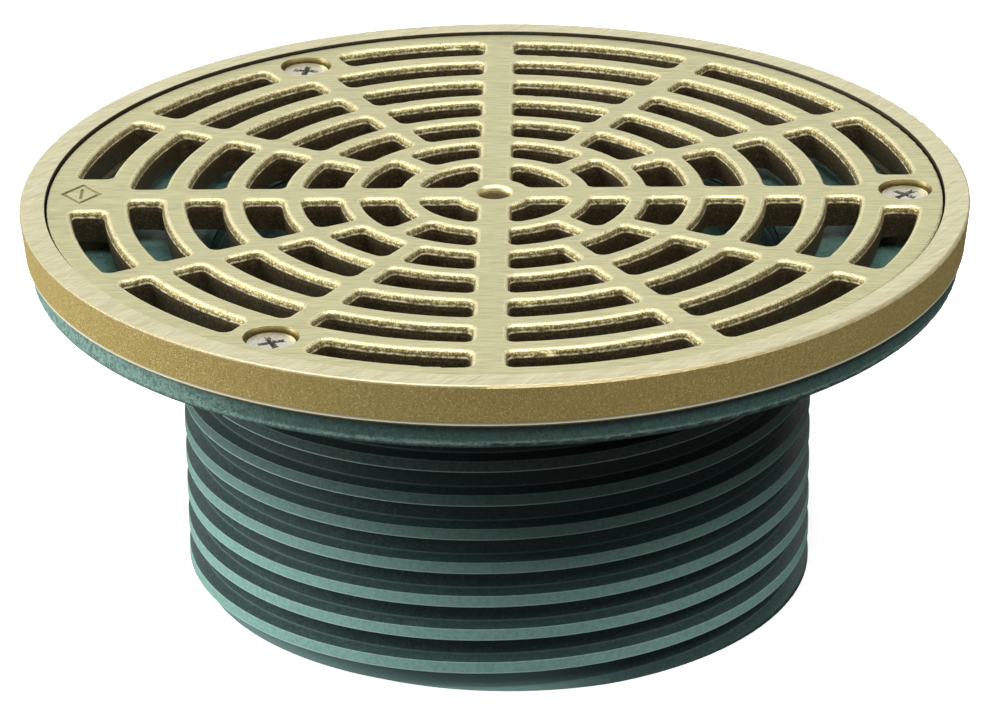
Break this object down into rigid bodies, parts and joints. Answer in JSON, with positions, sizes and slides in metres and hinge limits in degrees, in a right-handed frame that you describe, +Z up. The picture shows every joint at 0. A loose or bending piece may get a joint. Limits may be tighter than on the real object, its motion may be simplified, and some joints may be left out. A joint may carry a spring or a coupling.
{
  "type": "round floor drain grate",
  "caption": "Round floor drain head: slotted bronze grate screwed into a bronze rim, on a painted iron flange with a coarse threaded shank around the open outlet.",
  "frame": {"origin": "on the axis, at the bottom face of the threaded shank", "axes": "+Z up along the axis towards the grate's top face; +X towards grate_screw_1; the bars that cross the grate lie along X and Y"},
  "size_m": [0.1668, 0.1668, 0.0706],
  "materials": {
    "painted_iron": "grey-green paint over a cast skin",
    "rim_bronze": "nickel bronze, brushed top, cast side",
    "grate_bronze": "nickel bronze, brushed top, cast slots",
    "stainless": "stainless"
  },
  "bodies": {
    "drain": {"drain_flange": "painted_iron", "threaded_shank": "painted_iron", "rim_frame": "rim_bronze", "rim_screw_1": "stainless", "rim_screw_2": "stainless", "rim_screw_3": "stainless"},
    "grate": {"strainer_grate": "grate_bronze"},
    "screw_1": {"grate_screw_1": "stainless"},
    "screw_2": {"grate_screw_2": "stainless"},
    "screw_3": {"grate_screw_3": "stainless"}
  },
  "joints": [
    {"name": "grate_lift", "type": "slide", "parent": "drain", "child": "grate", "axis": [0, 0, 1], "range_m": [0, 0.03]},
    {"name": "screw_1_out", "type": "slide", "parent": "grate", "child": "screw_1", "axis": [0, 0, 1], "range_m": [0, 0.012]},
    {"name": "screw_2_out", "type": "slide", "parent": "grate", "child": "screw_2", "axis": [0, 0, 1], "range_m": [0, 0.012]},
    {"name": "screw_3_out", "type": "slide", "parent": "grate", "child": "screw_3", "axis": [0, 0, 1], "range_m": [0, 0.012]}
  ]
}
